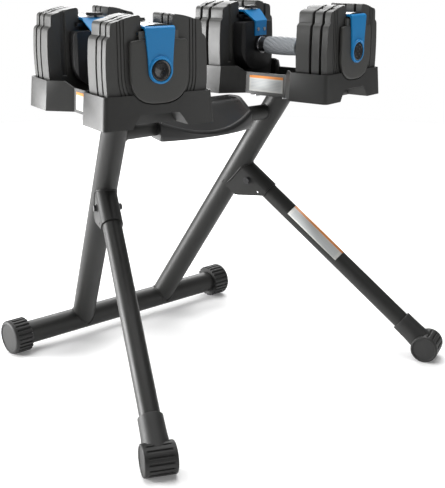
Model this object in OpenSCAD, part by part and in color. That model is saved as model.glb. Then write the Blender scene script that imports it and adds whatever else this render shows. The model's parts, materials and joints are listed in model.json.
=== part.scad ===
// Pair of adjustable dumbbells docked on a four-foot floor stand.
// +Z up, the user stands on the -Y side, origin on the floor under the middle.

/* [Stand tubes] */
// Outer diameter of the two uprights and the rear foot bar
tube_d = 50.8; // [40:0.1:60]
// Wall thickness of every steel tube
tube_wall = 2; // [1.5:0.1:3]
// Outer diameter of the two front legs
leg_d = 38.1; // [30:0.1:45]
// Outer diameter of the crossbar between the uprights
cross_d = 31.8; // [25:0.1:38]
// Half length of the rear foot bar over its caps
bar_half = 310; // [260:1:360]
// Distance of each upright from the middle, at the rear foot bar
up_foot_x = 115; // [95:1:140]
// Forward lean of the uprights from the vertical
up_lean = 32; // [28:0.5:36]
// Outward splay of the uprights seen from above
up_splay = 18; // [14:0.5:22]
// Height of the trays' undersides above the floor
tray_z = 567; // [500:1:620]
// Distance along the upright from the rear bar to the leg's centre line
leg_join = 426; // [360:1:460]
// Fall of the front legs below the horizontal
leg_drop = 39.5; // [35:0.5:44]
// Outward splay of the front legs seen from above
leg_splay = 24.5; // [18:0.5:30]
// Distance along the upright from the rear bar to the crossbar
cross_join = 572; // [500:1:585]

/* [Feet and caps] */
// Diameter of the rear bar's rubber caps
cap_d = 76.2; // [64:0.2:90]
// Length of a rear cap along the bar
cap_len = 43; // [30:1:60]
// Diameter of the front feet's barrels
foot_d = 59; // [50:0.5:70]
// Length of a front foot's barrel
foot_len = 60; // [45:1:80]
// Length of a front foot's sleeve up the leg, from the barrel's axis
foot_sleeve = 78; // [60:1:100]
// Wall of the rubber sleeves round the tubes
rubber_wall = 4; // [3:0.5:6]

/* [Leg brackets] */
// Thickness of the bracket's steel
brk_t = 3; // [2:0.5:5]
// Reach of the bracket along the leg, from the upright's axis
brk_len = 93; // [80:1:120]
// Distance of the leg bolt from the upright's axis
bolt_at = 43; // [41:1:60]
// Distance of the leg bolt below the leg's axis, on the flat of the bracket
bolt_drop = 9; // [4:1:10]
// Diameter of the leg bolts
bolt_d = 8; // [6:0.5:10]

/* [Centre panel] */
// Width of the panel over the crossbar
panel_w = 244; // [180:1:260]
// Slope of the panel's face from the horizontal
panel_tilt = 48; // [35:1:60]
// Height of the raised rim round the face
panel_rim = 3; // [1:0.5:5]
// Distance of each panel screw from the middle
panel_screw_x = 70; // [40:1:90]

/* [Trays] */
// Width of a tray at its feet
tray_w = 215; // [205:1:240]
// Length of a tray
tray_len = 358; // [356:1:400]
// Height of a tray at its feet
tray_h = 57; // [50:1:70]
// Height of a tray at its waist
waist_h = 45; // [38:1:50]
// Half width of a tray's waist
waist_hw = 65; // [58:1:75]
// Wall thickness of a tray
tray_wall = 3.5; // [3:0.1:4]
// Thickness of a tray's floor
tray_floor = 6.5; // [5:0.5:8]
// Turn of each tray, front ends outward
tray_yaw = 10.5; // [6:0.5:14]
// Depth of the hand recess in each end of a tray
recess_len = 45; // [30:1:70]

/* [Weight plates] */
// Greatest width of a plate
plate_w = 191; // [180:1:196]
// Height of a plate
plate_h = 181; // [170:1:200]
// Thickness of the inner, middle and outer plates
plate_t = [32.6, 17.4, 13.2];
// Distance from the middle of the handle to the first plate
plate_start = 96; // [94:1:104]
// Gap between one plate and the next
plate_gap = 5.6; // [4.5:0.1:8]
// Half width of the slot that takes the handle
slot_hw = 30; // [28:0.5:34]
// Depth of the handle's axis below the plate's top
axis_drop = 91; // [80:1:100]

/* [Handle] */
// Half the clear length between the two inner housings
grip_half = 62; // [58:1:70]
// Diameter of the grip at its middle
grip_d = 38.4; // [34:0.2:42]
// Diameter of the grip at its ends
grip_end_d = 35.4; // [32:0.2:38]
// Half length of the grip sleeve
grip_len = 41; // [36:1:46]
// Diameter of the steel bar through the handle
core_d = 25; // [20:0.5:27]
// Half width of the housings and end shields
head_hw = 55; // [48:0.5:60]
// Half width of the blue bridge at its top
bridge_hw = 28; // [24:0.5:29]
// Thickness of the blue bridge
bridge_t = 4; // [3:0.5:5]
// Diameter of the round end cap
endcap_d = 36.4; // [30:0.2:40]

/* [Selector] */
// Thickness of the sliding lock bar along the handle
lock_t = 8; // [6:0.5:10]
// How far the lock bar reaches into the plates on each side
lock_in = 7; // [5:0.5:9]

/* [Hidden] */
$fn = 48;
fit = 0.4;                 // gap between separate bodies
seat = 0.1;                // radial gap of a bar in its bore
cap_r = cap_d / 2;
foot_r = foot_d / 2;
bar_z = cap_r;
bar_end = bar_half - 8;      // end of the bar inside its cap
tube_r = tube_d / 2;
leg_r = leg_d / 2;
// directions and stations along the uprights
up_dir = [sin(up_splay) * sin(up_lean), -cos(up_splay) * sin(up_lean), cos(up_lean)];
function up_at(t) = [up_foot_x + t * up_dir[0], t * up_dir[1], bar_z + t * up_dir[2]];
mount_t = 4;
up_top = (tray_z - bar_z) / up_dir[2];
tray_c = up_at(up_top);
join_p = up_at(leg_join);
cross_p = up_at(cross_join);
leg_dir = [sin(leg_splay) * cos(leg_drop), -cos(leg_splay) * cos(leg_drop), -sin(leg_drop)];
leg_len = (join_p[2] - foot_r) / sin(leg_drop);
foot_p = join_p + leg_dir * leg_len;
// fore-and-aft centring of the whole stand on the origin
front_y = foot_p[1] - foot_r * cos(leg_splay) - foot_len / 2 * sin(leg_splay);
y_mid = -(front_y + cap_r) / 2;
// plates along the handle
pa = [plate_start, plate_start + plate_t[0] + plate_gap,
      plate_start + plate_t[0] + plate_t[1] + 2 * plate_gap];
plate_end = pa[2] + plate_t[2];
plate_z0 = tray_floor + fit;
plate_top = plate_z0 + plate_h;
axis_z = plate_top - axis_drop;
// head of the handle
shield_gap = 1.6;
shield_a = plate_end + shield_gap;
shield_t = 8;
strap_a = shield_a + shield_t;
head_top = axis_z + 53;
head_bot = axis_z - 56;
bridge_top = plate_top - 18;
house_top = head_top - 4;
lock_z = bridge_top - bridge_t - 12;
lock_h = 6;
park_a = plate_start - 2 - lock_t / 2;
slide = pa[2] + plate_t[2] / 2 - park_a;
scale_t = 3;
stem_t = 5;
flat_a = grip_half + 22;    // where the bridge turns level
// lugs and grooves that let an outer plate carry the inner ones
lug_b = 63;
lug_w = 8;
lug_h = 10;
lug_z = axis_z - 34;
lug_in = 4;
// ridge that runs under the plates
ridge_hw = 50;
ridge_h = 23;

steel = [0.17, 0.17, 0.17];
rubber = [0.07, 0.07, 0.07];
plastic = [0.24, 0.24, 0.24];
blue = [0.03, 0.43, 0.65];
silver = [0.75, 0.75, 0.75];

// ---------- helpers ----------
function arc(cx, cy, r, a0, a1, n) =
  [for (i = [0:n]) let (a = a0 + (a1 - a0) * i / n) [cx + r * cos(a), cy + r * sin(a)]];
// shallow curve from p to q that bows out by s to its right-hand side
function bow(p, q, s, n) =
  let (d = q - p, l = norm(d), m = [d[1], -d[0]] / l)
  [for (i = [0:n]) let (t = i / n) p + d * t + m * 4 * s * t * (1 - t)];

module at_stand() translate([0, y_mid, 0]) children();
// frame with its Z along an upright, origin at the rear bar
module upright_frame(s) translate([s * up_foot_x, 0, bar_z]) rotate([up_lean, 0, s * up_splay]) children();
// frame with its Z along a leg, +Y on the leg's upper side, origin on the upright's axis
module leg_frame(s) translate([s * join_p[0], join_p[1], join_p[2]])
  rotate([90 + leg_drop, 0, s * leg_splay]) children();
// tray and dumbbell frame: X across, Y along the handle, Z up from the tray's underside
module tray_frame(s) translate([s * tray_c[0], tray_c[1], tray_z]) rotate([0, 0, s * tray_yaw]) children();
// the near (-Y) or far (+Y) head of a dumbbell; the head is drawn on the far side
module head(f) { if (f > 0) children(); else rotate([0, 0, 180]) children(); }
// a profile in the (across, up) plane, from a0 to a1 along the handle
module along(a0, a1) translate([0, a1, 0]) rotate([90, 0, 0]) linear_extrude(height = a1 - a0) children();
// a profile in the (along, up) plane, half width w across
module across(w) rotate([90, 0, 90]) translate([0, 0, -w]) linear_extrude(height = 2 * w) children();
module tube(d, t, l) difference() { cylinder(d = d, h = l); translate([0, 0, -1]) cylinder(d = d - 2 * t, h = l + 2); }
module hexhead(d, h) cylinder(d = d, h = h, $fn = 6);

// ---------- stand ----------
module rear_foot_bar() color(steel) at_stand()
  translate([-bar_end, 0, bar_z]) rotate([0, 90, 0]) tube(tube_d, tube_wall, 2 * bar_end);

module upright(s) color(steel) at_stand() difference() {
  upright_frame(s) tube(tube_d, tube_wall, up_top + tube_d);
  translate([-bar_half, 0, bar_z]) rotate([0, 90, 0]) cylinder(r = tube_r + seat, h = 2 * bar_half);
  translate([s * tray_c[0] - 120, tray_c[1] - 120, tray_z - mount_t]) cube([240, 240, 120]);
}

module crossbar() color(steel) at_stand() difference() {
  translate([-cross_p[0], cross_p[1], cross_p[2]]) rotate([0, 90, 0]) tube(cross_d, tube_wall, 2 * cross_p[0]);
  for (s = [-1, 1]) upright_frame(s) cylinder(d = tube_d, h = up_top);
  panel_screw_holes(cross_p[1]);
}

module leg(s) color(steel) at_stand() difference() {
  leg_frame(s) translate([0, 0, tube_r + 8]) tube(leg_d, tube_wall, leg_len - tube_r - 8 - foot_r * 0.5);
  leg_frame(s) translate([-leg_r - 10, -bolt_drop, bolt_at]) rotate([0, 90, 0]) cylinder(d = bolt_d + 2 * seat, h = leg_d + 20);
}

// saddle of steel over the leg, whose flat cheeks are welded to the upright
module leg_bracket(s) color(steel) at_stand() difference() {
  intersection() {
    leg_frame(s) difference() {
      union() {
        cylinder(r = leg_r + brk_t, h = brk_len);
        translate([-leg_r - brk_t, -64, 0]) cube([leg_d + 2 * brk_t, 64, brk_len]);
      }
      translate([0, 0, tube_r + 8]) cylinder(r = leg_r, h = brk_len);
      translate([-leg_r, -65, -1]) cube([leg_d, 65, brk_len + 2]);
    }
    leg_frame(s) rotate([90, 0, 90]) translate([0, 0, -50]) linear_extrude(height = 100)
      polygon([[leg_r + brk_t + 1, 0], [leg_r + brk_t + 1, brk_len], [-10, brk_len], [-15, brk_len - 6],
        [-50, 50], [-56, 42], [-56, 0]]);
  }
  upright_frame(s) cylinder(d = tube_d, h = up_top);
  leg_frame(s) translate([-leg_r - 10, -bolt_drop, bolt_at]) rotate([0, 90, 0]) cylinder(d = bolt_d + 2 * seat, h = leg_d + 20);
  leg_frame(s) translate([-leg_r - 10, -12, brk_len - 15]) rotate([0, 90, 0]) cylinder(d = 5, h = leg_d + 20);
}

module leg_bolts() color("black") at_stand() for (s = [-1, 1]) leg_frame(s) translate([0, -bolt_drop, bolt_at]) {
  w = leg_r + brk_t;
  rotate([0, 90, 0]) translate([0, 0, -w - 1.5]) cylinder(d = bolt_d, h = 2 * w + 1.5 + 7);
  rotate([0, 90, 0]) translate([0, 0, -w - 6.5]) hexhead(bolt_d * 1.8, 5);
  rotate([0, 90, 0]) translate([0, 0, -w - 1.5]) cylinder(d = bolt_d * 2.1, h = 1.5);
  rotate([0, 90, 0]) translate([0, 0, w]) cylinder(d = bolt_d * 2.1, h = 1.5);
  rotate([0, 90, 0]) translate([0, 0, w + 1.5]) hexhead(bolt_d * 1.8, 4.5);
}

// T-shaped rubber foot: a sleeve up the leg and a ribbed barrel across its end
module front_foot(s) color(rubber) at_stand() difference() {
  union() {
    leg_frame(s) translate([0, 0, leg_len - foot_sleeve]) cylinder(r = leg_r + rubber_wall, h = foot_sleeve);
    translate([s * foot_p[0], foot_p[1], foot_r]) rotate([0, 0, s * leg_splay]) rotate([0, 90, 0])
      translate([0, 0, -foot_len / 2]) {
        cylinder(r = foot_r - 1.6, h = foot_len);
        cylinder(r = foot_r, h = 5);
        translate([0, 0, foot_len - 5]) cylinder(r = foot_r, h = 5);
        for (i = [0:15]) rotate([0, 0, i * 22.5]) translate([foot_r - 3, -2.6, 1]) cube([3, 5.2, foot_len - 2]);
      }
  }
  leg_frame(s) translate([0, 0, tube_r]) cylinder(r = leg_r, h = leg_len - tube_r - foot_r * 0.5);
  translate([s * foot_p[0] - 60, foot_p[1] - 60, -20]) cube([120, 120, 20]);
}

// ribbed cap on each end of the rear foot bar
module rear_cap(s) color(rubber) at_stand() difference() {
  translate([s * (bar_half - cap_len), 0, bar_z]) rotate([0, s * 90, 0]) difference() {
    union() {
      cylinder(r = cap_r - 1.8, h = cap_len - 1);
      translate([0, 0, cap_len - 4]) cylinder(r = cap_r - 1, h = 4);
      for (i = [0:23]) rotate([0, 0, i * 15]) translate([cap_r - 3.2, -2.1, 0]) cube([3.2, 4.2, cap_len - 3]);
    }
    translate([0, 0, -1]) cylinder(r = tube_r, h = cap_len - 7);
  }
  translate([s * bar_half - 100, -60, -20]) cube([200, 120, 20]);
}

// wedge-shaped shroud round the middle of the crossbar, with a dished sloping face
panel_y = cross_p[1];
panel_back = cross_d / 2 + 6;
panel_low = cross_d / 2 + 7;
panel_screw_d = 4;
panel_pts = concat(
  bow([-panel_w / 2, -35], [panel_w / 2, -35], 25, 16),
  [[panel_w / 2 - 17, panel_back], [-panel_w / 2 + 17, panel_back]]);
module panel_face(lift_by, in) translate([0, -(cross_d / 2 + 42), -panel_low + 9 + lift_by]) rotate([panel_tilt, 0, 0])
  translate([-200, in, 0]) cube([400, 400, 200]);
module centre_panel() color(plastic) at_stand() translate([0, panel_y, cross_p[2]]) difference() {
  translate([0, 0, -panel_low]) linear_extrude(height = panel_low + 60) polygon(panel_pts);
  panel_face(0, -200);
  // flat cap along the back of the wedge
  translate([-200, -200, 44]) cube([400, 400, 60]);
  // dished face inside the rim
  intersection() {
    translate([0, 0, -panel_low]) linear_extrude(height = panel_low + 80)
      polygon([for (p = panel_pts) [p[0] * (1 - 14 / panel_w), (p[1] + 2) * 0.84]]);
    translate([0, 0, -panel_rim]) panel_face(0, 6);
  }
  translate([-200, 0, 0]) rotate([0, 90, 0]) cylinder(d = cross_d, h = 400);
  translate([0, 0, -cross_p[2]]) panel_screw_holes(0);
}
// screws up through the panel's underside into the crossbar's lower wall
module panel_screw_holes(y) for (s = [-1, 1]) translate([s * panel_screw_x, y, cross_p[2] - panel_low - 1])
  cylinder(d = panel_screw_d + 2 * seat, h = panel_low + 1);
module panel_screws() color(silver) at_stand() for (s = [-1, 1])
  translate([s * panel_screw_x, panel_y, cross_p[2] - panel_low]) {
    cylinder(d = panel_screw_d, h = panel_low - cross_d / 2 + tube_wall + 1);
    translate([0, 0, -2.5]) cylinder(d = 2 * panel_screw_d, h = 2.5);
  }

mount_w = 2 * waist_hw - 24;
mount_l = 92;
tray_screw = [mount_w / 2 - 10, mount_l / 2 - 10];
module tray_mounts() color(steel) at_stand() for (s = [-1, 1]) tray_frame(s) difference() {
  translate([-mount_w / 2, -mount_l / 2, -mount_t]) cube([mount_w, mount_l, mount_t]);
  for (x = [-1, 1], y = [-1, 1]) translate([x * tray_screw[0], y * tray_screw[1], -mount_t - 1]) cylinder(d = 6 + 2 * seat, h = mount_t + 2);
}
module tray_screws() color(silver) at_stand() for (s = [-1, 1]) tray_frame(s)
  for (x = [-1, 1], y = [-1, 1]) translate([x * tray_screw[0], y * tray_screw[1], -mount_t]) {
    cylinder(d = 6, h = mount_t + tray_floor - 1);
    translate([0, 0, -3]) cylinder(d = 11, h = 3);
  }

// ---------- tray ----------
foot_in = tray_len / 2 - 89;
waist_in = foot_in - 39;
module tray_plan() {
  hw = tray_w / 2; hl = tray_len / 2; r = 9;
  q = concat(arc(hw - r, hl - r, r, 90, 0, 4), [[hw, foot_in], [waist_hw, waist_in]]);
  q2 = concat(q, [for (i = [len(q) - 1:-1:0]) [q[i][0], -q[i][1]]]);
  polygon(concat(q2, [for (i = [len(q2) - 1:-1:0]) [-q2[i][0], q2[i][1]]]));
}
function ridge(g, z = -1) = [[-ridge_hw - g - 4, z], [-ridge_hw + 6 - g, ridge_h - 9 + g / 2], [-ridge_hw + 13 - g, ridge_h + g],
  [ridge_hw - 13 + g, ridge_h + g], [ridge_hw - 6 + g, ridge_h - 9 + g / 2], [ridge_hw + g + 4, z]];
taper = [(tray_w - 9) / tray_w, (tray_len - 5) / tray_len];
module tray(s) color(plastic) at_stand() tray_frame(s) difference() {
  union() {
    difference() {
      linear_extrude(height = tray_h, scale = taper, slices = 1) tray_plan();
      translate([0, 0, tray_floor]) linear_extrude(height = tray_h, scale = taper, slices = 1) offset(delta = -tray_wall) tray_plan();
    }
    for (f = [-1, 1]) head(f) {
      // ridge under the plates, and ribs that keep the plates apart
      along(plate_start - 6, tray_len / 2 - 3) polygon(ridge(4, 0));
      for (i = [0, 1], x = [-1, 1])
        translate([x * 76 - 15, pa[i] + plate_t[i] + plate_gap / 2 - 1.2, tray_floor - 1]) cube([30, 2.4, 24]);
    }
  }
  // lower waist, with slopes up to the feet
  across(tray_w) polygon([[-waist_in - 2, waist_h], [waist_in + 2, waist_h], [waist_in + 18, tray_h + 3], [-waist_in - 18, tray_h + 3]]);
  for (f = [-1, 1]) head(f) {
    // dip for the end shield, hand recess below it and pocket behind its inner wall
    along(plate_end + 0.4, tray_len) polygon(shield_pts(2));
    along(tray_len / 2 - recess_len, tray_len) polygon(ridge(0));
    along(plate_start - 2, tray_len / 2 - recess_len - tray_wall) polygon(ridge(0));
  }
  for (x = [-1, 1], y = [-1, 1]) translate([x * tray_screw[0], y * tray_screw[1], -1]) cylinder(d = 6 + 2 * seat, h = tray_floor);
}

label_t = 0.4;
module labels() at_stand() {
  color("white") for (s = [-1, 1]) tray_frame(s) translate([-waist_hw, 0, 0])
    // the waist wall leans in towards its top
    rotate([0, atan2(waist_hw * (1 - taper[0]), tray_h), 0]) translate([-label_t, -46, 6]) cube([label_t, 88, 34]);
  color("white") leg_frame(1) intersection() {
    translate([0, 0, 161]) difference() {
      cylinder(r = leg_r + label_t, h = 148);
      translate([0, 0, -1]) cylinder(r = leg_r, h = 150);
    }
    rotate([0, 0, 70]) translate([0, 0, 160]) linear_extrude(height = 150) polygon([[0, 0], [60, 0], [60, 60], [-30, 60], [-60, 90]]);
  }
}

// ---------- plates ----------
// right half of the outline of the housings and end shields, grown by g
function shield_half(g) =
  let (w = head_hw + g, h = axis_z - head_bot + g, n = 2.7)
  concat([for (i = [0:12]) let (t = 90 - i * 7.5) [w * pow(cos(t), 2 / n), axis_z - h * pow(sin(t), 2 / n)]],
    [[w - 1, head_top - 9 + g]], bow([w - 4, head_top - 3 + g], [0, head_top + g], 1, 5));
function shield_pts(g) = let (r = shield_half(g)) concat(r, [for (i = [len(r) - 2:-1:1]) [-r[i][0], r[i][1]]]);
// the same outline with its sides carried straight up past the plate's top
function channel_pts(g) = let (r = concat([for (p = shield_half(g)) if (p[1] < axis_z + 1) p], [[head_hw + g, plate_top + 9]]))
  concat(r, [for (i = [len(r) - 1:-1:1]) [-r[i][0], r[i][1]]]);

function plate_half() =
  let (hw = plate_w / 2, z0 = plate_z0, zt = plate_top, sh = zt - 37)
  concat([[ridge_hw + 5.5 + 4, z0]],
    arc(hw - 4 - 12, z0 + 12, 12, -90, -8, 5),
    bow([hw - 4, z0 + 22], [hw - 2, sh - 4], 3.5, 8),
    [[hw - 4, sh], [hw - 8.5, sh + 3.5]],
    arc(hw - 9.5 - 8, zt - 10 - 8, 8, 0, 72, 4),
    bow([hw - 24, zt - 8.5], [slot_hw + 12, zt - 0.8], 0.8, 4),
    arc(slot_hw + 5, zt - 5, 5, 90, 180, 4),
    arc(0, axis_z, slot_hw, 0, -90, 12));
module plate_2d() {
  r = plate_half();
  difference() {
    polygon(concat(r, [for (i = [len(r) - 2:-1:0]) [-r[i][0], r[i][1]]]));
    polygon(ridge(5.5));
  }
}
// one band of the stepped ribs on the outer plate's face
module face_groove(g) difference() { polygon(channel_pts(g + 2)); translate([0, 1]) polygon(channel_pts(g)); }
module plate(s, f, i) color(plastic) at_stand() tray_frame(s) head(f) difference() {
  union() {
    along(pa[i], pa[i] + plate_t[i]) plate_2d();
    if (i < 2) for (x = [-1, 1])
      translate([x * lug_b - lug_w / 2, pa[i] + plate_t[i] - 1, lug_z]) cube([lug_w, plate_gap + 1 + lug_in, lug_h]);
  }
  // grooves down the inner face, open at the top, for the next plate's lugs
  for (x = [-1, 1]) translate([x * lug_b - lug_w / 2 - 0.5, pa[i] - 1, lug_z - fit])
    cube([lug_w + 1, lug_in + fit + 1, plate_h]);
  // pockets the lock bar slides through
  translate([-slot_hw - lock_in - 0.8, pa[i] - 1, lock_z - 0.8])
    cube([2 * (slot_hw + lock_in + 0.8), plate_t[i] + 2, lock_h + 1.6]);
  if (i == 2) for (g = [6, 12, 18]) along(plate_end - 1.5, plate_end + 1) face_groove(g);
}

// ---------- handle ----------
module handle_bar(s) color(silver) at_stand() tray_frame(s)
  translate([0, 0, axis_z]) rotate([90, 0, 0]) cylinder(d = core_d, h = 2 * shield_a, center = true);

module grip(s) color([0.55, 0.56, 0.57]) at_stand() tray_frame(s) translate([0, 0, axis_z]) rotate([90, 0, 0])
  rotate_extrude($fn = 64) polygon(concat(
    [[core_d / 2, -grip_len], [grip_end_d / 2 - 2, -grip_len]],
    [for (i = [-8:8]) [grip_end_d / 2 + (grip_d - grip_end_d) / 2 * cos(i * 11.25), i / 8 * (grip_len - 1.5)]],
    [[grip_end_d / 2 - 2, grip_len], [core_d / 2, grip_len]]));

collar_d = grip_end_d - 5.4;
ring_a = grip_half - 8;
module band(a0, a1, d) translate([0, a1, axis_z]) rotate([90, 0, 0]) difference() {
  cylinder(d = d, h = a1 - a0);
  translate([0, 0, -1]) cylinder(d = core_d, h = a1 - a0 + 2);
}
module collars(s) color(rubber) at_stand() tray_frame(s) for (f = [-1, 1]) head(f) {
  band(grip_len, ring_a, collar_d);
  band(ring_a + 4, grip_half, collar_d);
}
module rings(s) color(silver) at_stand() tray_frame(s) for (f = [-1, 1]) head(f) band(ring_a, ring_a + 4, grip_end_d);

house_back = plate_start - 2.4;
module housing(s, f) color(rubber) at_stand() tray_frame(s) head(f) difference() {
  intersection() {
    along(grip_half, house_back) polygon([for (p = shield_pts(-2)) [p[0], min(p[1], house_top)]]);
    linear_extrude(height = 300) polygon([[-head_hw, house_back], [-head_hw, grip_half + 11],
      [-head_hw + 8, grip_half + 3], [-20, grip_half], [20, grip_half], [head_hw - 8, grip_half + 3],
      [head_hw, grip_half + 11], [head_hw, house_back]]);
  }
  translate([0, shield_a + 1, axis_z]) rotate([90, 0, 0]) cylinder(d = core_d, h = shield_a);
  for (x = [-1, 1]) translate([x * 11, grip_half - 1, axis_z + 33]) rotate([-90, 0, 0]) cylinder(d = 4, h = 12);
}

// necks through the plates' slots, from the housings out to the end shields
module necks(s) color(rubber) at_stand() tray_frame(s) for (f = [-1, 1]) head(f) difference() {
  translate([-18, house_back, axis_z - 20]) cube([36, shield_a - house_back, 44]);
  translate([0, shield_a + 1, axis_z]) rotate([90, 0, 0]) cylinder(d = core_d, h = shield_a);
}

module end_shields(s) color(plastic) at_stand() tray_frame(s) for (f = [-1, 1]) head(f) {
  along(shield_a, shield_a + shield_t - 2) polygon(shield_pts(0));
  along(shield_a + shield_t - 2, shield_a + shield_t) polygon(shield_pts(-1.6));
  // tongue up behind the blue strip
  translate([-bridge_hw + 3, shield_a, head_top - 6]) cube([2 * bridge_hw - 6, shield_t, bridge_top - bridge_t - 3 - head_top + 6]);
}

// blue strip: down the housing's face, over the slot, and down the end shield
module bridge_profile() {
  t = bridge_t; b = bridge_top; g = grip_half; s1 = strap_a;
  polygon(concat(
    [[s1 + 3.5, axis_z - 30], [s1 + 3.5, b - 6]], arc(s1 - 2.5, b - 6, 6, 15, 90, 4),
    [[flat_a, b], [g - 3.5, house_top + 2], [g - 3.5, axis_z + 19.5], [g, axis_z + 19.5],
     [g, house_top], [flat_a + 2, b - t], [s1 - 3, b - t], [s1, b - t - 3], [s1, axis_z - 30]]));
}
module bridge_front() polygon(concat(
  [[bridge_hw, bridge_top + 1], [bridge_hw, bridge_top - 5], [bridge_hw - 3.5, axis_z + 33], [endcap_d / 2 + 4.5, axis_z + 6]],
  arc(0, axis_z, endcap_d / 2 + 4.5, 0, -180, 16),
  [[-endcap_d / 2 - 4.5, axis_z + 6], [-bridge_hw + 3.5, axis_z + 33], [-bridge_hw, bridge_top - 5], [-bridge_hw, bridge_top + 1]]));
module bridge_back() polygon([[bridge_hw, bridge_top + 1], [bridge_hw, bridge_top - 5], [bridge_hw - 4, bridge_top - 15],
  [19.5, bridge_top - 26], [19, axis_z], [-19, axis_z], [-19.5, bridge_top - 26], [-bridge_hw + 4, bridge_top - 15],
  [-bridge_hw, bridge_top - 5], [-bridge_hw, bridge_top + 1]]);
module bridges(s) color(blue) at_stand() tray_frame(s) for (f = [-1, 1]) head(f) difference() {
  intersection() {
    across(bridge_hw + 1) bridge_profile();
    union() {
      along(0, plate_start) bridge_back();
      along(plate_start - 1, strap_a + 20) bridge_front();
    }
  }
  // slot for the selector's stem
  translate([-3.6, park_a - stem_t / 2 - 0.6, bridge_top - bridge_t - 1]) cube([7.2, slide + stem_t + 1.2, bridge_t + 2]);
  translate([0, strap_a + 5, axis_z]) rotate([90, 0, 0]) cylinder(d = endcap_d + 2 * seat, h = 20);
  for (x = [-1, 1]) translate([x * 11, grip_half - 6, axis_z + 33]) rotate([-90, 0, 0]) cylinder(d = 4, h = 12);
}
module scales(s) color([0.85, 0.85, 0.83]) at_stand() tray_frame(s) for (f = [-1, 1]) head(f) difference() {
  translate([-bridge_hw + 5, flat_a + 0.5, bridge_top]) cube([2 * bridge_hw - 10, strap_a - 5 - flat_a, scale_t]);
  translate([-3.6, park_a - stem_t / 2 - 0.6, bridge_top - 1]) cube([7.2, slide + stem_t + 1.2, scale_t + 2]);
}
module end_caps(s) color("black") at_stand() tray_frame(s) for (f = [-1, 1]) head(f)
  translate([0, strap_a + 5, axis_z]) rotate([90, 0, 0]) {
    translate([0, 0, 0.8]) cylinder(d = endcap_d, h = 4.2);
    cylinder(d = endcap_d - 4, h = 2);
  }
module bridge_screws(s) color(silver) at_stand() tray_frame(s) for (f = [-1, 1], x = [-1, 1]) head(f)
  translate([x * 11, grip_half - 3.5, axis_z + 33]) rotate([-90, 0, 0]) {
    cylinder(d = 4, h = 10);
    translate([0, 0, -1.5]) cylinder(d = 7.5, h = 1.5);
  }

// thumb slide on the scale; its lock bar passes through the plates' pockets
module selector(s, f) color(rubber) at_stand() tray_frame(s) head(f) translate([0, park_a, 0]) {
  top = bridge_top + scale_t + fit;
  translate([-slot_hw - lock_in, -lock_t / 2, lock_z]) cube([2 * (slot_hw + lock_in), lock_t, lock_h]);
  translate([-3, -stem_t / 2, lock_z + lock_h - 1]) cube([6, stem_t, top - lock_z - lock_h + 2]);
  translate([-14, -9, top]) cube([28, 18, 3]);
  for (y = [-7, -1.5, 4]) translate([-14, y, top + 2]) cube([28, 3, 3.5]);
}

// ---------- assembly ----------
rear_foot_bar();
upright(-1);  // left_upright
upright(1);  // right_upright
crossbar();
leg(-1);  // left_leg
leg(1);  // right_leg
leg_bracket(-1);  // left_leg_bracket
leg_bracket(1);  // right_leg_bracket
leg_bolts();
front_foot(-1);  // left_front_foot
front_foot(1);  // right_front_foot
rear_cap(-1);  // left_rear_cap
rear_cap(1);  // right_rear_cap
centre_panel();
panel_screws();
tray_mounts();
tray(-1);  // left_tray
tray(1);  // right_tray
tray_screws();
labels();
handle_bar(-1);  // left_handle_bar
grip(-1);  // left_grip
collars(-1);  // left_collars
rings(-1);  // left_rings
housing(-1, -1);  // left_near_housing
housing(-1, 1);  // left_far_housing
necks(-1);  // left_necks
end_shields(-1);  // left_end_shields
bridges(-1);  // left_bridges
scales(-1);  // left_scales
end_caps(-1);  // left_end_caps
bridge_screws(-1);  // left_bridge_screws
selector(-1, -1);  // left_near_selector
selector(-1, 1);  // left_far_selector
plate(-1, -1, 0);  // left_near_inner_plate
plate(-1, 1, 0);  // left_far_inner_plate
plate(-1, -1, 1);  // left_near_middle_plate
plate(-1, 1, 1);  // left_far_middle_plate
plate(-1, -1, 2);  // left_near_outer_plate
plate(-1, 1, 2);  // left_far_outer_plate
handle_bar(1);  // right_handle_bar
grip(1);  // right_grip
collars(1);  // right_collars
rings(1);  // right_rings
housing(1, -1);  // right_near_housing
housing(1, 1);  // right_far_housing
necks(1);  // right_necks
end_shields(1);  // right_end_shields
bridges(1);  // right_bridges
scales(1);  // right_scales
end_caps(1);  // right_end_caps
bridge_screws(1);  // right_bridge_screws
selector(1, -1);  // right_near_selector
selector(1, 1);  // right_far_selector
plate(1, -1, 0);  // right_near_inner_plate
plate(1, 1, 0);  // right_far_inner_plate
plate(1, -1, 1);  // right_near_middle_plate
plate(1, 1, 1);  // right_far_middle_plate
plate(1, -1, 2);  // right_near_outer_plate
plate(1, 1, 2);  // right_far_outer_plate
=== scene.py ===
"""Looks for a pair of adjustable dumbbells docked in trays on a four-foot floor stand.

The frame gives every place and size. Shapes of a dumbbell are worked out in its tray's own
frame, in millimetres: across the handle, along the handle, and up from the tray's underside.
"""

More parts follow.
